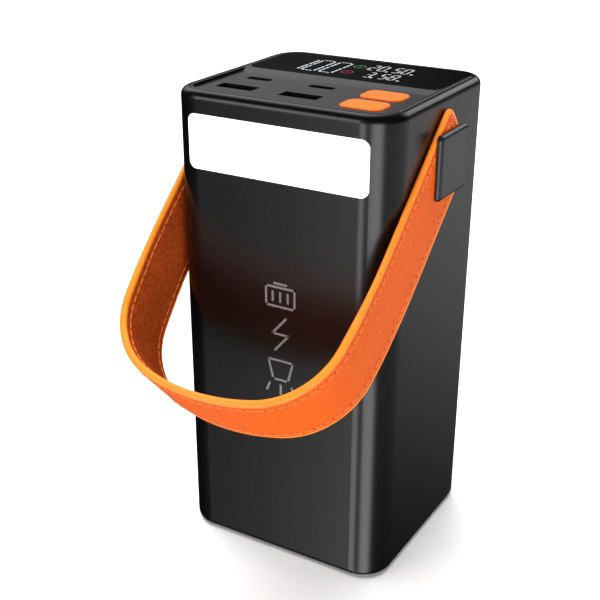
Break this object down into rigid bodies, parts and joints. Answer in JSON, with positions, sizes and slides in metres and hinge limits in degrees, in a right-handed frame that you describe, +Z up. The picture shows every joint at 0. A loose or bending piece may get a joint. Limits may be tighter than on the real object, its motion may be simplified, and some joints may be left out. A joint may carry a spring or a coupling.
{
  "type": "power station",
  "caption": "Tall square power station with lamp bar, recessed port tray with push buttons, display window and swinging leather carrying strap.",
  "frame": {"origin": "centre of the rubber base pad's underside, on the surface the object stands on", "axes": "+Z up along the tall axis, +X to the right seen from the lamp side, -Y the lamp side towards which the strap hangs"},
  "size_m": [0.0834, 0.1142, 0.155],
  "materials": {
    "shell_plastic": "fine satin texture",
    "cover_plastic": "fine satin texture",
    "foot_rubber": "matte",
    "window_glass": "polished, tinted almost black",
    "display_black": "dark digit block",
    "circuit_board": "solder mask",
    "pin_metal": "gold-plated pins",
    "lamp_diffuser": "milky diffuser, lit",
    "white_plastic": "plain moulded",
    "lamp_board": "white coated",
    "emitter_yellow": "phosphor",
    "screw_steel": "zinc plated",
    "chip_black": "moulded resin",
    "ferrite_grey": "sintered",
    "can_aluminium": "drawn can",
    "port_steel": "bright stamped",
    "port_plastic": "moulded",
    "button_orange": "soft satin",
    "cell_foil": "laminated pouch film",
    "foam_grey": "closed-cell foam",
    "inner_plastic": "moulded",
    "bar_nickel": "nickel strip",
    "lead_red": "insulated wire",
    "lead_black": "insulated wire",
    "strap_leather": "pebbled, stitched edges",
    "strap_lining_leather": "pebbled back",
    "cap_gloss": "polished dark"
  },
  "bodies": {
    "power_station": {"housing": "shell_plastic", "top_cover": "cover_plastic", "base_cover": "cover_plastic", "base_pad": "foot_rubber", "display_glass": "window_glass", "display_module": "display_black", "display_board": "circuit_board", "display_pins": "pin_metal", "light_lens": "lamp_diffuser", "light_reflector": "white_plastic", "light_board": "lamp_board", "light_emitters": "emitter_yellow", "light_screws": "screw_steel", "main_board": "circuit_board", "board_screws": "screw_steel", "power_chips": "chip_black", "power_coil": "ferrite_grey", "capacitors": "can_aluminium", "cover_screws": "screw_steel", "usb_a_shell_left": "port_steel", "usb_a_shell_right": "port_steel", "usb_c_shell_left": "port_steel", "usb_c_shell_right": "port_steel", "usb_a_tongue_left": "port_plastic", "usb_a_tongue_right": "port_plastic", "usb_c_tongue_left": "port_plastic", "usb_c_tongue_right": "port_plastic", "switch_body_rear": "chip_black", "switch_body_front": "chip_black", "switch_board": "circuit_board", "switch_screws": "screw_steel", "switch_spacers": "white_plastic", "cell_1": "cell_foil", "cell_2": "cell_foil", "cell_3": "cell_foil", "cell_4": "cell_foil", "cell_5": "cell_foil", "foam_pads": "foam_grey", "cell_cradle": "inner_plastic", "cell_clamp": "inner_plastic", "cell_board": "circuit_board", "busbar_positive": "bar_nickel", "busbar_negative": "bar_nickel", "positive_lead": "lead_red", "negative_lead": "lead_black", "anchor_plate_left": "cap_gloss", "anchor_plate_right": "cap_gloss", "anchor_washers": "screw_steel", "anchor_screws": "screw_steel", "base_screws": "screw_steel"},
    "strap": {"strap_outer": "strap_leather", "strap_lining": "strap_lining_leather", "eyelet_left": "screw_steel", "eyelet_right": "screw_steel"},
    "button_rear": {"button_cap_rear": "button_orange", "switch_plunger_rear": "white_plastic"},
    "button_front": {"button_cap_front": "button_orange", "switch_plunger_front": "white_plastic"}
  },
  "joints": [
    {"name": "strap_swing", "type": "hinge", "parent": "power_station", "child": "strap", "pos_m": [0, 0, 0.135], "axis": [-1, 0, 0], "range_deg": [0, 264]},
    {"name": "button_rear_press", "type": "slide", "parent": "power_station", "child": "button_rear", "axis": [0, 0, -1], "range_m": [0, 0.0005], "stiffness_N_per_m": 3000},
    {"name": "button_front_press", "type": "slide", "parent": "power_station", "child": "button_front", "axis": [0, 0, -1], "range_m": [0, 0.0005], "stiffness_N_per_m": 3000}
  ]
}
